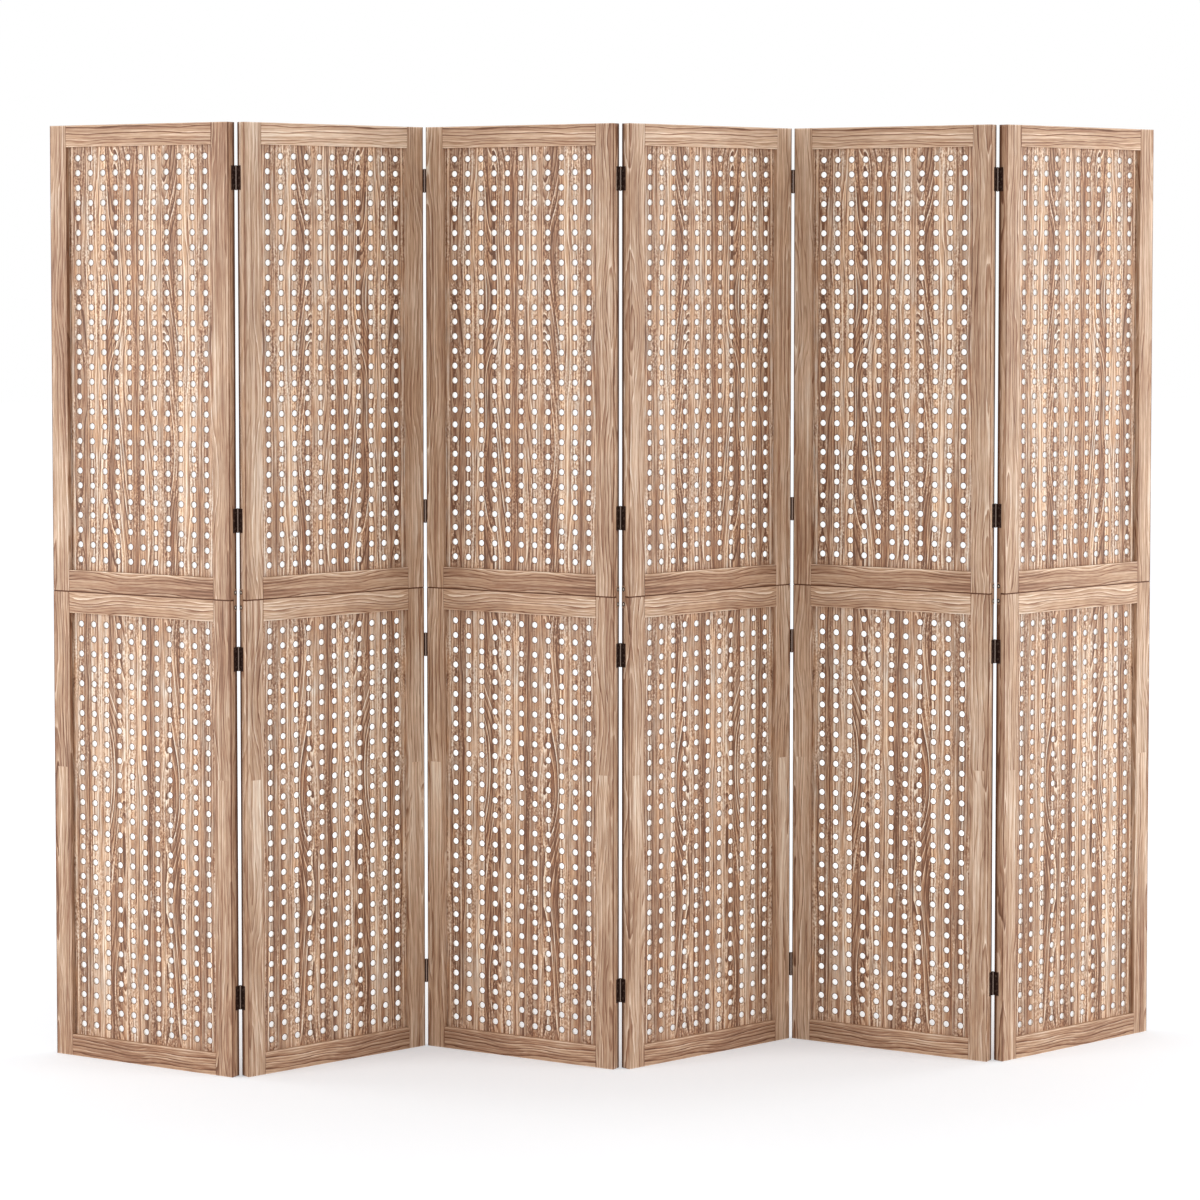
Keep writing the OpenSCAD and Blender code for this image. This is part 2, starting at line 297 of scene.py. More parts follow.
# Powers that leave most lines and most pale rings faint, and the strength of the faintest line.
LINE_POWER = 1.7
PALE_POWER = 1.4
FAINTEST_LINE = 0.15
# Keeps the random numbers of pale rings apart from those of the lines.
PALE_SEED = 0.37
# How much the rings slant through a board.
RING_SLANT = 0.4


def make_wood_figure():
    """Growth lines of a sawn board whose grain runs along Z: straight lines on both sides of a heart at
    X = Heart, which meet over it in arches with a radius of Round, and drift by Swell along the grain."""
    group, given, result = new_group(
        "wood_figure",
        [("Vector", "Vector", None), ("Seed", "Float", 0.0), ("Heart", "Float", -0.03),
         ("Round", "Float", 0.01), ("Swell", "Float", 0.03), ("Wander", "Float", 0.01),
         ("Spacing", "Float", 0.006), ("Reach", "Float", 3.0), ("Ripple", "Float", 1.2)],
        ["Line", "Cream"])
    vector, seed = given["Vector"], given["Seed"]
    x, y = take_apart(group, vector)[:2]
    swell = stretched_noise(group, vector, put_together(group, *DRIFT_SCALE, given["Reach"]), seed, 1.0)
    wander = stretched_noise(group, vector, put_together(group, *WANDER_SCALE, given["Reach"]), seed, 1.0)
    ripple = stretched_noise(group, vector, RIPPLE_SCALE, seed, 2.0, 0.6)
    side = add_up(group, calculate(group, "SUBTRACT", x, given["Heart"]), (wander, given["Wander"]))
    rounding = multiply(group, given["Round"], given["Round"])
    arch = calculate(group, "SQRT", calculate(group, "MULTIPLY_ADD", side, side, rounding))
    shell = add_up(group, arch, (swell, given["Swell"]), (y, RING_SLANT))
    rings = calculate(group, "DIVIDE", shell, given["Spacing"])
    rings = add_up(group, rings, (ripple, given["Ripple"]))
    cycle = calculate(group, "FRACT", rings)
    number = calculate(group, "ADD", calculate(group, "FLOOR", rings), seed)
    chance = calculate(group, "POWER", hashed(group, number), LINE_POWER)
    strength = calculate(group, "MULTIPLY_ADD", chance, 1 - FAINTEST_LINE, FAINTEST_LINE)
    rise = smooth_step(group, cycle, *RING_RISE)
    end = smooth_step(group, cycle, *RING_END)
    group.links.new(multiply(group, rise, end, strength), result["Line"])
    pale_chance = hashed(group, calculate(group, "ADD", number, PALE_SEED))
    pale_strength = calculate(group, "POWER", pale_chance, PALE_POWER)
    pale = smooth_step(group, cycle, *RING_PALE)
    group.links.new(multiply(group, pale, pale_strength), result["Cream"])


# The noises of the grain: how many features a metre of each axis holds, their detail and their roughness.
GRAIN_NOISES = {
    "Streak": ((170.0, 170.0, 2.2), 3.0, 0.6),
    "Fibre": ((900.0, 900.0, 22.0), 2.0, 0.5),
    "Grain": ((420.0, 420.0, 34.0), 2.0, 0.6),
    "Pin": ((390.0, 390.0, 4.5), 1.0, 0.5),
    "Fleck": ((380.0, 380.0, 250.0), 1.0, 0.5),
    "Cloud": ((14.0, 14.0, 5.0), 2.0, 0.5),
    "Patch": ((36.0, 36.0, 10.0), 1.0, 0.5),
    "Warmth": ((60.0, 60.0, 18.0), 2.0, 0.6),
}


def make_wood_grain():
    """Streaks, fibres, pores, flecks and clouds of wood whose grain runs along Z, each from -0.5 to 0.5."""
    group, given, result = new_group(
        "wood_grain", [("Vector", "Vector", None), ("Seed", "Float", 0.0)], GRAIN_NOISES)
    for name, (scale, detail, roughness) in GRAIN_NOISES.items():
        noise = stretched_noise(group, given["Vector"], scale, given["Seed"], detail, roughness)
        group.links.new(noise, result[name])


# The stains from the darkest to the palest, and how much a warmth of 1 adds to red, green and blue.
STAINS = ("Umber", "Brown", "Tan", "Sand", "Cream")
WARM_TINT = (0.11, -0.035, -0.20)


def make_wood_stain():
    """The colour of limed wood at a tone from 0, dark, to 1, pale, and at a warmth, 0 for plain wood."""
    stains = [(name, "Color", (0.5, 0.4, 0.3, 1)) for name in STAINS]
    group, given, result = new_group(
        "wood_stain", [("Tone", "Float", 0.5), ("Warmth", "Float", 0.0)] + stains, ["Colour"], "Color")
    shade = given[STAINS[0]]
    steps = len(STAINS) - 1
    for count, name in enumerate(STAINS[1:]):
        share = straight_step(group, given["Tone"], count / steps, (count + 1) / steps)
        shade = mix_colours(group, share, shade, given[name])
    channels = [calculate(group, "MULTIPLY_ADD", given["Warmth"], change, 1.0) for change in WARM_TINT]
    tint = add_node(group, "ShaderNodeCombineColor", dict(enumerate(channels))).outputs[0]
    group.links.new(mix_colours(group, 1.0, shade, tint, "MULTIPLY"), result["Colour"])


# How many features a metre of the mottling holds, and the mottling at which rubbing starts and is full.
MOTTLE_SCALE = (350.0, 350.0, 350.0)
MOTTLE_RUB = (0.05, 0.35)


def make_patina():
    """Mottling of a metal finish, and where it is rubbed bright."""
    group, given, result = new_group("patina", [("Vector", "Vector", None)], ["Mottle", "Rub"])
    mottle = stretched_noise(group, given["Vector"], MOTTLE_SCALE, 0.0, 3.0, 0.6)
    group.links.new(mottle, result["Mottle"])
    group.links.new(smooth_step(group, mottle, *MOTTLE_RUB), result["Rub"])


# ---- Places on a leaf ----

# How far from the seam the shade of its groove starts and is full, and how far beyond a hole's wall the
# painted shade round it and the bare wall itself do.
SEAM_GROOVE = (1.9 * MM, 0.7 * MM)
HOLE_SHADE = (1.5 * MM, 0.6 * MM)
HOLE_WALL = (0.12 * MM, 0.06 * MM)
# The share of an arris's reach over which it is fully worn.
ARRIS_CORE = 0.4


def leaf_middle(leaf):
    """The middle of a leaf in plan and how far it turns about Z."""
    low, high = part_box(f"leaf_{leaf}_lower_pegboard")
    return (low.x + high.x) / 2, (low.y + high.y) / 2, -HALF_FOLD if leaf % 2 else HALF_FOLD


def leaf_place(tree, leaf, height=0):
    """A place on a leaf: X along it from its middle to the joint that stands forward, Y through it to the
    back, and Z up from a height."""
    x, y, turn = leaf_middle(leaf)
    place = add_node(
        tree, "ShaderNodeMapping",
        {"Vector": object_place(tree), "Location": (x, y, height), "Rotation": (0, 0, turn),
         "Scale": (1 if leaf % 2 else -1, 1, 1)},
        vector_type="TEXTURE").outputs[0]
    return take_apart(tree, place)


def height_in_half(tree, z, sizes):
    """Whether a place is in the upper half, and its distance from the nearer end of its half."""
    upper = calculate(tree, "GREATER_THAN", z, sizes.seam_height)
    above_foot = calculate(tree, "MULTIPLY_ADD", upper, -sizes.seam_height, z)
    upper_extra = sizes.screen_height - 2 * sizes.seam_height
    half_height = calculate(tree, "MULTIPLY_ADD", upper, upper_extra, sizes.seam_height)
    from_top = calculate(tree, "SUBTRACT", half_height, above_foot)
    return upper, calculate(tree, "MINIMUM", above_foot, from_top)


def arris_mask(tree, from_edge, from_face, reach):
    """1 on a rounded arris, fading to 0 at a reach from the corner."""
    core = reach * ARRIS_CORE
    return multiply(
        tree, smooth_step(tree, from_edge, reach, core), smooth_step(tree, from_face, reach, core))


def seam_shade(tree, z, sizes):
    """1 in the narrow groove between the two halves."""
    away = calculate(tree, "ABSOLUTE", calculate(tree, "SUBTRACT", z, sizes.seam_height))
    return smooth_step(tree, away, *SEAM_GROOVE)


def offset_from_nearest(tree, value, first, pitch):
    """How far a place lies from the nearest of a row of marks."""
    moved = calculate(tree, "ADD", value, pitch / 2 - first)
    return calculate(tree, "SUBTRACT", calculate(tree, "FLOORED_MODULO", moved, pitch), pitch / 2)


def hole_marks(tree, across, z, half, sizes):
    """Painted shade round each peg hole, and the bare wall inside it."""
    inner_width = sizes.leaf_width - 2 * (sizes.stile_width + sizes.hole_margin)
    foot = sizes.rail_height + sizes.hole_margin
    half_height = sizes.seam_height if half == "lower" else sizes.screen_height - sizes.seam_height
    inner_height = half_height - 2 * foot
    dx = offset_from_nearest(tree, across, sizes.hole_margin, inner_width / (sizes.hole_columns - 1))
    dz = offset_from_nearest(tree, z, foot, inner_height / (sizes.hole_rows - 1))
    distance = calculate(tree, "SQRT", calculate(tree, "MULTIPLY_ADD", dx, dx, multiply(tree, dz, dz)))
    radius = sizes.hole_diameter / 2
    hole_shade = smooth_step(tree, distance, *[radius + beyond for beyond in HOLE_SHADE])
    wall = straight_step(tree, distance, *[radius + beyond for beyond in HOLE_WALL])
    return hole_shade, wall


def from_plate_screw(tree, leaf, sizes):
    """How far a place lies from the seam, and from the nearest screw of a joining plate as an edge shows."""
    y, z = leaf_place(tree, leaf, sizes.seam_height)[1:]
    from_seam = calculate(tree, "ABSOLUTE", z)
    high = calculate(tree, "SUBTRACT", from_seam, sizes.plate_screw_rise)
    aside = calculate(tree, "SUBTRACT", y, sizes.leaf_thickness / 2 - sizes.plate_screw_depth)
    squares = calculate(tree, "MULTIPLY_ADD", high, high, multiply(tree, aside, aside))
    return from_seam, calculate(tree, "SQRT", squares)


# ---- Wood ----

# What is a leaf's own: how much lighter or darker than plain its left and right stiles, its top rail, the
# rails at its seam, its foot rail and its boards are, how much paler the wood glued into its lower stiles
# is, and how much warmer its stile is at the joint that stands back, a painted tint that offsets the
# greyer light on the stiles there.
LeafTones = namedtuple("LeafTones", "left right top seam foot board glued warmth")
LEAF_TONES = (
    LeafTones(-0.13, -0.12, -0.15, -0.02, -0.06, 0.00, 0.10, 0.00),
    LeafTones(0.04, 0.08, 0.08, 0.06, 0.01, 0.03, 0.17, 0.15),
    LeafTones(0.02, -0.05, -0.09, 0.00, -0.02, 0.00, 0.17, 0.15),
    LeafTones(-0.03, 0.05, 0.00, 0.00, -0.02, 0.00, 0.17, 0.15),
    LeafTones(0.02, 0.00, -0.05, 0.03, 0.03, 0.03, 0.17, 0.15),
    LeafTones(-0.06, -0.04, -0.10, 0.06, 0.03, 0.00, 0.17, 0.00))

# The tone of plain stiles and rails, and how much each mark of the figure and the grain lightens a piece, or
# darkens it where the number is below 0.
STILE_TONE = 0.52
STILE_FIGURE = {"Line": -0.36, "Cream": 0.34}
STILE_GRAIN = {"Streak": 1.1, "Fibre": 0.32, "Grain": 0.55, "Pin": 0.65, "Cloud": 0.60}
RAIL_TONE = 0.51
RAIL_FIGURE = {"Line": -0.55, "Cream": 0.40}
RAIL_GRAIN = {"Streak": 0.95, "Fibre": 0.30, "Grain": 0.60, "Pin": 0.40, "Cloud": 0.50}
BOARD_GRAIN = {"Streak": 0.70, "Fibre": 0.60, "Grain": 0.90, "Pin": 1.4, "Cloud": 0.28}
RAIL_WARMTH = 0.17
BOARD_WARMTH = 0.06

# The lamella of a lower stile that has the glued joint: how far from the stile's edge its two sides start
# and are full, how sharply it ends at the joint, and how far below that its own tone starts and is full.
LAMELLA_OUTER = (8.8 * MM, 9 * MM)
LAMELLA_INNER = (30.2 * MM, 30 * MM)
LAMELLA_TOP = 0.3 * MM
LAMELLA_FADE = (0.34, 0.05)
# The painted shade beside the pins: how far from a stile's edge and from its pins' face it starts and is
# full.
GAP_SHADE_EDGE = (2.6 * MM, 1.6 * MM)
GAP_SHADE_FACE = (7.5 * MM, 4.5 * MM)
# How far from a stile the dark line at a rail's shoulder starts and is full.
SHOULDER = (0.9 * MM, 0.2 * MM)


def new_material(name):
    """An empty node material and its tree."""
    material = bpy.data.materials.new(name)
    material.use_nodes = True
    material.node_tree.nodes.clear()
    return material, material.node_tree


def finish_surface(tree, base, roughness, height, relief, metallic=0.0):
    """Ends a material in a Principled shader with a relief in metres."""
    bump = add_node(tree, "ShaderNodeBump", {"Height": height, "Distance": relief, "Strength": 1.0})
    shader = add_node(tree, "ShaderNodeBsdfPrincipled", {
        "Base Color": base, "Roughness": roughness, "Metallic": metallic, "Specular IOR Level": 0.35,
        "Normal": bump.outputs[0]})
    add_node(tree, "ShaderNodeOutputMaterial", {0: shader.outputs[0]})


def stain(tree, tone, warmth, colours):
    """The wood's colour at a tone and a warmth."""
    values = {"Tone": tone, "Warmth": warmth}
    for name in STAINS:
        values[name] = opaque(getattr(colours, name.lower()))
    return use_group(tree, "wood_stain", values)[0]


def finish_frame(tree, tone, warmth, figure, grain, colours):
    """Ends a stile's or a rail's material, with dark lines a little below the rest and fibres above it."""
    roughness = add_up(tree, 0.52, (grain["Fibre"], 0.15), (figure["Line"], 0.08))
    height = add_up(tree, 0.5, (figure["Line"], -0.5), (grain["Fibre"], 0.5))
    finish_surface(tree, stain(tree, tone, warmth, colours), roughness, height, relief=0.25 * MM)


def stile_material(leaf, sizes, colours):
    """Straight lines up the stiles, with a glued joint in the lower ones."""
    tones = LEAF_TONES[leaf - 1]
    rear_tone, forward_tone = (tones.left, tones.right) if leaf % 2 else (tones.right, tones.left)
    material, tree = new_material(f"stile_wood_{leaf}")
    x, y, z = leaf_place(tree, leaf)
    upper, from_end = height_in_half(tree, z, sizes)
    forward = calculate(tree, "GREATER_THAN", x, 0.0)
    inwards = depth_within(tree, sizes.leaf_width / 2, x)
    from_face = depth_within(tree, sizes.leaf_thickness / 2, y)
    lamella = multiply(
        tree, straight_step(tree, inwards, *LAMELLA_OUTER), straight_step(tree, inwards, *LAMELLA_INNER),
        straight_step(tree, z, sizes.joint_height, sizes.joint_height - LAMELLA_TOP))
    fade = smooth_step(tree, z, *[sizes.joint_height - below for below in LAMELLA_FADE])
    seed = add_up(tree, 1.3 + leaf, (upper, 3.1), (forward, 7.7), (lamella, 1.9))
    local = put_together(tree, inwards, y, z)
    figure = use_group(tree, "wood_figure", {
        "Vector": local, "Seed": seed, "Heart": 0.004, "Round": 0.004, "Swell": 0.060, "Wander": 0.022,
        "Spacing": sizes.stile_rings, "Reach": 3.5})
    grain = use_group(tree, "wood_grain", {"Vector": local, "Seed": seed})
    wear_and_highlight = arris_mask(tree, from_end, from_face, sizes.arris)
    # The outer arrises of the stiles are darkened as painted shade beside the gaps between the leaves.
    painted_edge_shade = arris_mask(tree, inwards, from_face, sizes.arris)
    # Painted shade near a stile's outer edge on the side of its pins, in the narrow gap between the leaves.
    to_pins = multiply(tree, y, calculate(tree, "SIGN", x))
    from_pin_face = calculate(tree, "SUBTRACT", sizes.leaf_thickness / 2, to_pins)
    gap_shade = multiply(
        tree, smooth_step(tree, inwards, *GAP_SHADE_EDGE), smooth_step(tree, from_pin_face, *GAP_SHADE_FACE))
    tone = add_up(
        tree, STILE_TONE + rear_tone, (forward, forward_tone - rear_tone), *weighed(figure, STILE_FIGURE),
        *weighed(grain, STILE_GRAIN), (multiply(tree, lamella, fade), tones.glued), (wear_and_highlight, 0.20),
        (painted_edge_shade, -0.35), (gap_shade, -0.80), (seam_shade(tree, z, sizes), -0.80))
    # The warmth at the joint that stands back is a painted tint against the greyer light there.
    warmth = add_up(tree, tones.warmth, (forward, -tones.warmth), (grain["Warmth"], 1.0))
    finish_frame(tree, tone, warmth, figure, grain, colours)
    return material


def rail_material(leaf, sizes, colours):
    """Bold lines along the rails, each rail from a board of its own."""
    tones = LEAF_TONES[leaf - 1]
    material, tree = new_material(f"rail_wood_{leaf}")
    x, y, z = leaf_place(tree, leaf)
    upper, from_end = height_in_half(tree, z, sizes)
    foot = calculate(tree, "LESS_THAN", z, sizes.rail_height + MM)
    top = calculate(tree, "GREATER_THAN", z, sizes.screen_height - sizes.rail_height - MM)
    above_seam = calculate(tree, "SUBTRACT", upper, top)
    seed = add_up(tree, 4.1, (upper, 2.3), (foot, 5.9), (top, 8.3))
    local = put_together(tree, from_end, y, x)
    figure = use_group(tree, "wood_figure", {
        "Vector": local, "Seed": seed, "Heart": 0.056, "Round": 0.004, "Swell": 0.050, "Wander": 0.020,
        "Spacing": sizes.rail_rings, "Reach": 5.0})
    grain = use_group(tree, "wood_grain", {"Vector": local, "Seed": seed})
    from_face = depth_within(tree, sizes.leaf_thickness / 2, y)
    from_inner = calculate(tree, "SUBTRACT", sizes.rail_height, from_end)
    # Pale arrises on the rails: wear at their ends, and a painted highlight along the arris by the board.
    wear_and_highlight = arris_mask(tree, calculate(tree, "MINIMUM", from_inner, from_end), from_face, sizes.arris)
    from_stile = depth_within(tree, sizes.leaf_width / 2 - sizes.stile_width, x)
    shoulder = smooth_step(tree, from_stile, *SHOULDER)
    tone = add_up(
        tree, RAIL_TONE + tones.seam, *weighed(figure, RAIL_FIGURE), *weighed(grain, RAIL_GRAIN),
        (foot, tones.foot - tones.seam - 0.10), (top, tones.top - tones.seam), (above_seam, -0.13),
        (wear_and_highlight, 0.30), (seam_shade(tree, z, sizes), -0.80), (shoulder, -0.30))
    warmth = calculate(tree, "ADD", grain["Warmth"], RAIL_WARMTH)
    finish_frame(tree, tone, warmth, figure, grain, colours)
    return material


# The planks of a board from the side of the joint that stands back: where each starts, in mm from the
# frame, its tone at its two sides, where the heart of its rings lies, in mm from its start, how far that
# heart swells, in mm, and its warmth.
Plank = namedtuple("Plank", "start first last heart swell warmth")
LOWER_PLANKS = tuple(Plank(*row) for row in (
    (0, 0.48, 0.62, 60, 15, 0.10), (10, 0.44, 0.42, -20, 15, 0.00), (26, 0.26, 0.40, -20, 15, 0.00),
    (43, 0.66, 0.58, 12, 40, 0.00), (66, 0.56, 0.64, 60, 20, 0.12), (82, 0.30, 0.34, 34, 170, 0.16),
    (104, 0.34, 0.54, 12, 170, 0.10), (118, 0.56, 0.62, -14, 30, 0.10), (142, 0.52, 0.40, -40, 15, 0.14),
    (171, 0.32, 0.28, 50, 15, 0.05), (187, 0.38, 0.46, 34, 30, 0.06), (208, 0.48, 0.44, 2, 150, 0.10),
    (222, 0.27, 0.18, -12, 150, 0.20), (243, 0.58, 0.38, 62, 25, 0.12), (286, 0.38, 0.36, -20, 15, -0.14),
    (312, 0.39, 0.38, 30, 15, -0.10)))
UPPER_PLANKS = tuple(Plank(*row) for row in (
    (0, 0.62, 0.76, 40, 15, 0.00), (10, 0.34, 0.36, 10, 60, 0.02), (38, 0.52, 0.48, -20, 25, 0.12),
    (64, 0.50, 0.62, 34, 40, 0.26), (82, 0.26, 0.38, 20, 160, 0.24), (100, 0.38, 0.49, 2, 160, 0.20),
    (135, 0.30, 0.28, 60, 15, 0.24), (156, 0.42, 0.44, -30, 15, 0.12), (168, 0.46, 0.52, 24, 50, 0.12),
    (187, 0.57, 0.47, -24, 25, 0.08), (208, 0.50, 0.42, 2, 160, 0.04), (222, 0.32, 0.26, -12, 160, 0.18),
    (243, 0.58, 0.51, -20, 30, 0.14), (285, 0.38, 0.35, 40, 20, 0.10), (301, 0.44, 0.46, -10, 15, -0.05)))
# Half the width of the step from plank to plank, how far the step's contrast reaches, how far hearts may
# lie outside the board on both sides together, and the most that one may swell, all in mm.
PLANK_STEP = 0.2
CONTRAST_REACH = 1.6
HEART_RANGE = 200
SWELL_RANGE = 200


def plank_tones(tree, position, planks, width):
    """The tone of the planks across a board, with crisp steps between them."""
    ends = [plank.start for plank in planks[1:]] + [width / MM]
    stops = []
    for plank, end in zip(planks, ends):
        for place, tone in ((plank.start + PLANK_STEP, plank.first), (end - PLANK_STEP, plank.last)):
            stops.append((place * MM / width, (tone, tone, tone, 1)))
    return colour_ramp(tree, position, "LINEAR", stops)[0]


def plank_figures(tree, position, planks, width):
    """A number for each plank, the place of its heart across the board, how far that swells, and its
    warmth. One ramp holds all four, each moved and shrunk to lie between 0 and 1."""
    stops = []
    for count, plank in enumerate(planks, 1):
        number = count / (len(planks) + 1)
        heart = (plank.start + plank.heart + HEART_RANGE / 2) / (width / MM + HEART_RANGE)
        swell = plank.swell / SWELL_RANGE
        stops.append((plank.start * MM / width, (number, heart, swell, 0.5 + plank.warmth)))
    values, warmth = colour_ramp(tree, position, "CONSTANT", stops)
    number, heart, swell = add_node(tree, "ShaderNodeSeparateColor", {0: values}).outputs
    return (number,
            calculate(tree, "MULTIPLY_ADD", heart, width + HEART_RANGE * MM, -HEART_RANGE * MM / 2),
            calculate(tree, "MULTIPLY", swell, SWELL_RANGE * MM),
            calculate(tree, "SUBTRACT", warmth, 0.5))


def board_material(leaf, half, sizes, colours):
    """Planks side by side up a drilled board, with their own figure each."""
    material, tree = new_material(f"pegboard_{half}_{leaf}")
    planks, foot, first_seed = (
        (LOWER_PLANKS, 0, 2.0) if half == "lower" else (UPPER_PLANKS, sizes.seam_height, 9.0))
    x, y, z = leaf_place(tree, leaf, foot)
    width = sizes.leaf_width - 2 * sizes.stile_width
    across = calculate(tree, "ADD", x, width / 2)
    position = calculate(tree, "DIVIDE", across, width)
    plank_tone = plank_tones(tree, position, planks, width)
    contrast = multiply(tree, plank_tone, 2.0)
    for shift in (-CONTRAST_REACH, CONTRAST_REACH):
        beside = calculate(tree, "ADD", position, shift * MM / width)
        contrast = add_up(tree, contrast, (plank_tones(tree, beside, planks, width), -1.0))
    number, heart, swell, plank_warmth = plank_figures(tree, position, planks, width)
    seed = calculate(tree, "MULTIPLY_ADD", number, 71.0, first_seed)
    local = put_together(tree, across, y, z)
    # Near 0 on a plank with straight lines and about 0.4 on one with arches, which are long and bold.
    arched = multiply(tree, swell, 2.5)
    figure = use_group(tree, "wood_figure", {
        "Vector": local, "Seed": seed, "Heart": heart, "Round": 0.006, "Swell": swell, "Wander": 0.020,
        "Spacing": sizes.board_rings, "Reach": calculate(tree, "MULTIPLY_ADD", arched, -5.5, 5.0),
        "Ripple": calculate(tree, "MULTIPLY_ADD", arched, -2.6, 1.2)})
    grain = use_group(tree, "wood_grain", {"Vector": local, "Seed": seed})
    line = multiply(tree, figure["Line"], calculate(tree, "ADD", arched, 0.50))
    cream = multiply(tree, figure["Cream"], calculate(tree, "ADD", arched, 0.45))
    flecked = calculate(tree, "MULTIPLY_ADD", smooth_step(tree, grain["Patch"], -0.02, 0.09), 0.90, 0.10)
    hole_shade, wall = hole_marks(tree, across, z, half, sizes)
    # The dark ring round each hole is painted shade.
    tone = add_up(
        tree, LEAF_TONES[leaf - 1].board, (plank_tone, 1.0), (contrast, 0.80), (line, -1.0), (cream, 1.0),
        *weighed(grain, BOARD_GRAIN), (multiply(tree, grain["Fleck"], flecked), 1.60), (hole_shade, -1.9))
    warmth = add_up(tree, BOARD_WARMTH, (plank_warmth, 1.3), (grain["Warmth"], 3.2))
    base = mix_colours(tree, wall, stain(tree, tone, warmth, colours), opaque(colours.cut_board))
    roughness = add_up(tree, 0.50, (grain["Fibre"], 0.12), (wall, 0.3))
    height = add_up(tree, 0.5, (figure["Line"], -0.4), (grain["Fibre"], 0.4))
    finish_surface(tree, base, roughness, height, relief=0.15 * MM)
    return material


def dowel_material(colours):
    """Plain beech, its grain up the dowel."""
    material, tree = new_material("dowel_beech")
    grain = use_group(tree, "wood_grain", {"Vector": object_place(tree), "Seed": 3.0})
    dark = tuple(level * 0.7 for level in colours.beech)
    share = add_up(tree, 0.3, (grain["Streak"], 0.8), (grain["Fibre"], 0.6))
    base = mix_colours(tree, share, opaque(colours.beech), opaque(dark))
    finish_surface(tree, base, roughness=0.7, height=grain["Fibre"], relief=0.1 * MM)
    return material


# ---- Metal ----

# How far from a plate's screw the painted shade in the plate starts and is full, where the painted
# highlight in the screw's middle ends, and where the painted shade round that highlight is full.
PLATE_SHADE = (4.3 * MM, 3.7 * MM)
SCREW_MIDDLE = 1.7 * MM
SCREW_RIM = 2.1 * MM
# The painted highlight along a knuckle: where it starts and is full to the side of the pin, as shares of the
# knuckle's radius, where it does so before or behind the knuckle, and how strong it is.
RIDGE_ASIDE = (0.45, 0.25)
RIDGE_BEYOND = (0.4 * MM, 0.2 * MM)
RIDGE_HIGHLIGHT = 0.6


def finish_metal(tree, shade, mottle, roughness, metallic):
    """Ends a metal's material, a little rougher where the mottling is."""
    rough = add_up(tree, roughness, (mottle, 0.3))
    finish_surface(tree, shade, rough, mottle, relief=0.03 * MM, metallic=metallic)


def bronze_material(name, colours, roughness, metallic, painted_highlight=None):
    """Mottled bronze, bright where it is rubbed, and where a highlight is painted if a mask of it is given.
    """
    material, tree = new_material(name)
    place = object_place(tree)
    patina = use_group(tree, "patina", {"Vector": place})
    rub_and_highlight = patina["Rub"]
    if painted_highlight:
        rub_and_highlight = calculate(tree, "MAXIMUM", rub_and_highlight, painted_highlight(tree, place))
    shade = mix_colours(tree, rub_and_highlight, opaque(colours.bronze), opaque(colours.rub_and_highlight_bronze))
    finish_metal(tree, shade, patina["Mottle"], roughness, metallic)
    return material


def flap_material(joint, sizes, colours):
    """Bronzed flaps with a highlight painted along their knuckles over the pin."""
    low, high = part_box(f"hinge_{joint}_{joint + 1}_pins")
    centre = ((low.x + high.x) / 2, (low.y + high.y) / 2, 0)
    reach = sizes.knuckle_diameter / 2

    # A highlight painted along the knuckle over its pin, in the bright colour of rubbed bronze.
    def knuckle_highlight(tree, place):
        away = add_node(tree, "ShaderNodeVectorMath", {0: place, 1: centre}, operation="SUBTRACT").outputs[0]
        aside, deep = [calculate(tree, "ABSOLUTE", value) for value in take_apart(tree, away)[:2]]
        ridge_highlight = smooth_step(tree, aside, *[reach * share for share in RIDGE_ASIDE])
        round_pin = smooth_step(tree, deep, *[reach + beyond for beyond in RIDGE_BEYOND])
        return multiply(tree, ridge_highlight, round_pin, RIDGE_HIGHLIGHT)
    return bronze_material(
        f"hinge_bronze_{joint}", colours, roughness=0.40, metallic=0.5, painted_highlight=knuckle_highlight)


def plain_mottle(tree):
    """Mottling without any rubbing."""
    return use_group(tree, "patina", {"Vector": object_place(tree)})["Mottle"]


def plate_material(leaf, sizes, colours):
    """A brown joining plate with painted shade round each screw."""
    material, tree = new_material(f"plate_brown_{leaf}")
    radius = from_plate_screw(tree, leaf, sizes)[1]
    # The dark ring round each screw is painted shade.
    ring = smooth_step(tree, radius, *PLATE_SHADE)
    shade = mix_colours(tree, ring, opaque(colours.plate), opaque(colours.screw_shade))
    finish_metal(tree, shade, plain_mottle(tree), roughness=0.5, metallic=0.2)
    return material


def screw_material(leaf, sizes, colours):
    """Steel screws in the hinges, and in the joining plates ones with painted shade round a painted
    highlight.
    """
    material, tree = new_material(f"screw_steel_{leaf}")
    from_seam, radius = from_plate_screw(tree, leaf, sizes)
    in_plate = calculate(tree, "LESS_THAN", from_seam, sizes.plate_screw_rise * 2)
    # Painted shade round the screw's middle, and a painted highlight in it.
    ring = multiply(tree, in_plate, smooth_step(tree, radius, SCREW_MIDDLE, SCREW_RIM))
    middle = multiply(tree, in_plate, smooth_step(tree, radius, SCREW_RIM, SCREW_MIDDLE))
    shade = mix_colours(tree, ring, opaque(colours.steel), opaque(colours.screw_shade))
    shade = mix_colours(tree, middle, shade, opaque(colours.screw_highlight))
    metallic = calculate(tree, "MULTIPLY_ADD", middle, -0.6, 0.6)
    finish_metal(tree, shade, plain_mottle(tree), roughness=0.35, metallic=metallic)
    return material


# ---- Stage ----

def seen_or_reflected(tree):
    """1 for rays that show the backdrop: from the camera, off metal and through glass."""
    rays = add_node(tree, "ShaderNodeLightPath").outputs
    seen = calculate(tree, "MAXIMUM", rays["Is Camera Ray"], rays["Is Glossy Ray"])
    return calculate(tree, "MAXIMUM", seen, rays["Is Transmission Ray"])


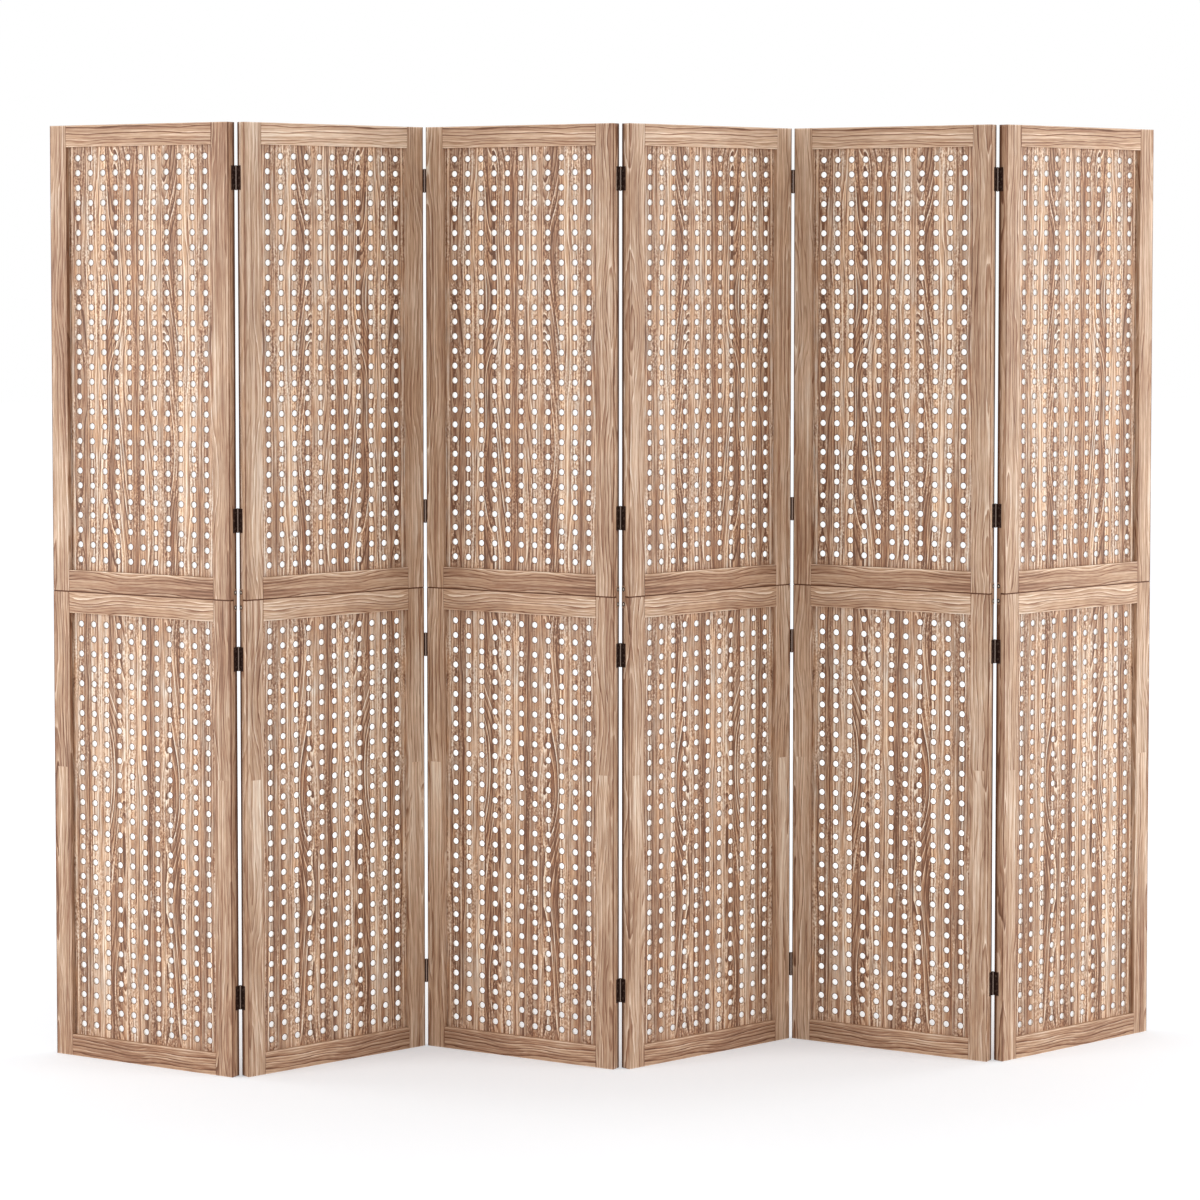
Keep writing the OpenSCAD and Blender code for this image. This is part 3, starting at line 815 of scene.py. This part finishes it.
def add_floor(setup):
    """A white floor that shows the screen's shadow and runs into the white behind it."""
    bpy.ops.object.select_all(action="DESELECT")
    bpy.ops.mesh.primitive_plane_add(size=setup.floor_size, location=(0, 0, 0))
    floor = bpy.context.object
    floor.name = "floor"
    material, tree = new_material("white_floor")
    diffuse = add_node(tree, "ShaderNodeBsdfDiffuse", {"Color": opaque(setup.floor_paint)})
    away = add_node(tree, "ShaderNodeVectorMath", {0: object_place(tree)}, operation="LENGTH")
    far = smooth_step(tree, away.outputs["Value"], setup.near_end, setup.far_start)
    whiteness = add_up(tree, setup.near_floor, (far, setup.backdrop - setup.near_floor))
    glow = add_node(tree, "ShaderNodeEmission", {
        "Color": opaque(setup.floor_glow), "Strength": multiply(tree, seen_or_reflected(tree), whiteness)})
    both = add_node(tree, "ShaderNodeAddShader", {0: diffuse.outputs[0], 1: glow.outputs[0]})
    add_node(tree, "ShaderNodeOutputMaterial", {0: both.outputs[0]})
    floor.data.materials.append(material)


def add_world(scene, daylight):
    """Even light from all round, which the camera sees as white."""
    world = bpy.data.worlds.new("studio")
    world.use_nodes = True
    tree = world.node_tree
    tree.nodes.clear()
    strength = add_up(tree, daylight, (seen_or_reflected(tree), 1 - daylight))
    background = add_node(tree, "ShaderNodeBackground", {"Color": (1, 1, 1, 1), "Strength": strength})
    add_node(tree, "ShaderNodeOutputWorld", {0: background.outputs[0]})
    scene.world = world


def add_lamp(name, aside, forward, strength, setup):
    """A tall soft lamp that faces the middle of the screen; aside and forward are 1 or -1, for its side."""
    x, y, z = aside * setup.lamp_aside, -forward * setup.lamp_forward, setup.lamp_rise
    data = bpy.data.lights.new(name, "AREA")
    data.shape = "RECTANGLE"
    data.size = setup.lamp_width
    data.size_y = setup.lamp_height
    data.energy = strength
    lamp = bpy.data.objects.new(name, data)
    lamp.location = (x, y, z)
    drop = math.atan2(z - setup.lamp_aim, math.hypot(x, y))
    lamp.rotation_euler = (math.pi / 2 - drop, 0, math.atan2(x, -y))
    bpy.context.scene.collection.objects.link(lamp)


def add_camera(scene, setup):
    """The camera at the photograph's place and turn."""
    data = bpy.data.cameras.new("camera")
    data.lens = setup.lens
    data.sensor_width = 36
    data.shift_y = setup.rise
    data.clip_end = 200
    camera = bpy.data.objects.new("camera", data)
    camera.location = setup.camera_place
    camera.rotation_euler = (math.pi / 2 - setup.camera_tilt, 0, -setup.camera_turn)
    scene.collection.objects.link(camera)
    scene.camera = camera


# ---- Operators ----

def dress(node, material):
    """Gives a CAD node its finish."""
    slots = frame["nodes"][node].data.materials
    slots.clear()
    slots.append(material)


class FOLDSCREEN_OT_effects(bpy.types.Operator):
    """Makes the node groups that the finishes share"""
    bl_idname = "foldscreen.effects"
    bl_label = "Shared effects"

    def execute(self, context):
        make_wood_figure()
        make_wood_grain()
        make_wood_stain()
        make_patina()
        return {"FINISHED"}


class FOLDSCREEN_OT_frames(bpy.types.Operator):
    """Gives the stiles and rails of every leaf their limed wood"""
    bl_idname = "foldscreen.frames"
    bl_label = "Frames"

    def execute(self, context):
        sizes, colours = context.scene.screen_sizes, context.scene.screen_colours
        for leaf in range(1, LEAVES + 1):
            dress(f"leaf_{leaf}_stiles", stile_material(leaf, sizes, colours))
            dress(f"leaf_{leaf}_rails", rail_material(leaf, sizes, colours))
        return {"FINISHED"}


class FOLDSCREEN_OT_pegboards(bpy.types.Operator):
    """Gives the drilled boards their planked wood"""
    bl_idname = "foldscreen.pegboards"
    bl_label = "Pegboards"

    def execute(self, context):
        sizes, colours = context.scene.screen_sizes, context.scene.screen_colours
        for leaf in range(1, LEAVES + 1):
            for half in ("lower", "upper"):
                dress(f"leaf_{leaf}_{half}_pegboard", board_material(leaf, half, sizes, colours))
        return {"FINISHED"}


class FOLDSCREEN_OT_hardware(bpy.types.Operator):
    """Gives hinges, pins, plates, screws and dowels their finish"""
    bl_idname = "foldscreen.hardware"
    bl_label = "Hardware"

    def execute(self, context):
        sizes, colours = context.scene.screen_sizes, context.scene.screen_colours
        pin = bronze_material("pin_bronze", colours, roughness=0.3, metallic=0.9)
        beech = dowel_material(colours)
        for leaf in range(1, LEAVES + 1):
            dress(f"leaf_{leaf}_joining_plates", plate_material(leaf, sizes, colours))
            dress(f"leaf_{leaf}_screws", screw_material(leaf, sizes, colours))
            dress(f"leaf_{leaf}_dowels", beech)
        for joint in range(1, LEAVES):
            bronze = flap_material(joint, sizes, colours)
            dress(f"hinge_{joint}_{joint + 1}_left_flaps", bronze)
            dress(f"hinge_{joint}_{joint + 1}_right_flaps", bronze)
            dress(f"hinge_{joint}_{joint + 1}_pins", pin)
        return {"FINISHED"}


class FOLDSCREEN_OT_stage(bpy.types.Operator):
    """Lays the floor, lights the screen and stands the camera"""
    bl_idname = "foldscreen.stage"
    bl_label = "Stage"

    def execute(self, context):
        setup = context.scene.screen_stage
        add_floor(setup)
        add_world(context.scene, setup.daylight)
        add_lamp("lamp_left", -1, 1, setup.left_power, setup)
        add_lamp("lamp_right", 1, 1, setup.right_power, setup)
        add_lamp("lamp_back_left", -1, -1, setup.back_power, setup)
        add_lamp("lamp_back_right", 1, -1, setup.back_power, setup)
        add_camera(context.scene, setup)
        context.scene.view_settings.view_transform = "Standard"
        return {"FINISHED"}


STEPS = (FOLDSCREEN_OT_effects, FOLDSCREEN_OT_frames, FOLDSCREEN_OT_pegboards, FOLDSCREEN_OT_hardware,
         FOLDSCREEN_OT_stage)


class FOLDSCREEN_PT_panel(bpy.types.Panel):
    """Shows the settings and the steps that dress the screen"""
    bl_idname = "FOLDSCREEN_PT_panel"
    bl_label = "Folding Screen"
    bl_space_type = "VIEW_3D"
    bl_region_type = "UI"
    bl_category = "Folding Screen"

    def draw(self, context):
        for group in (context.scene.screen_sizes, context.scene.screen_colours, context.scene.screen_stage):
            box = self.layout.box()
            for name in group.__annotations__:
                box.prop(group, name)
        for step in STEPS:
            self.layout.operator(step.bl_idname)


CLASSES = (ScreenSizes, ScreenColours, StageSetup, *STEPS, FOLDSCREEN_PT_panel)


def register():
    """Registers the classes and hangs the settings on the scene."""
    for item in CLASSES:
        bpy.utils.register_class(item)
    bpy.types.Scene.screen_sizes = PointerProperty(type=ScreenSizes)
    bpy.types.Scene.screen_colours = PointerProperty(type=ScreenColours)
    bpy.types.Scene.screen_stage = PointerProperty(type=StageSetup)


def unregister():
    """Takes the settings off the scene and unregisters the classes."""
    del bpy.types.Scene.screen_stage
    del bpy.types.Scene.screen_colours
    del bpy.types.Scene.screen_sizes
    for item in reversed(CLASSES):
        bpy.utils.unregister_class(item)


def main():
    """Dresses the screen and sets the stage."""
    register()
    bpy.ops.foldscreen.effects()
    bpy.ops.foldscreen.frames()
    bpy.ops.foldscreen.pegboards()
    bpy.ops.foldscreen.hardware()
    bpy.ops.foldscreen.stage()


if __name__ == "__main__":
    main()
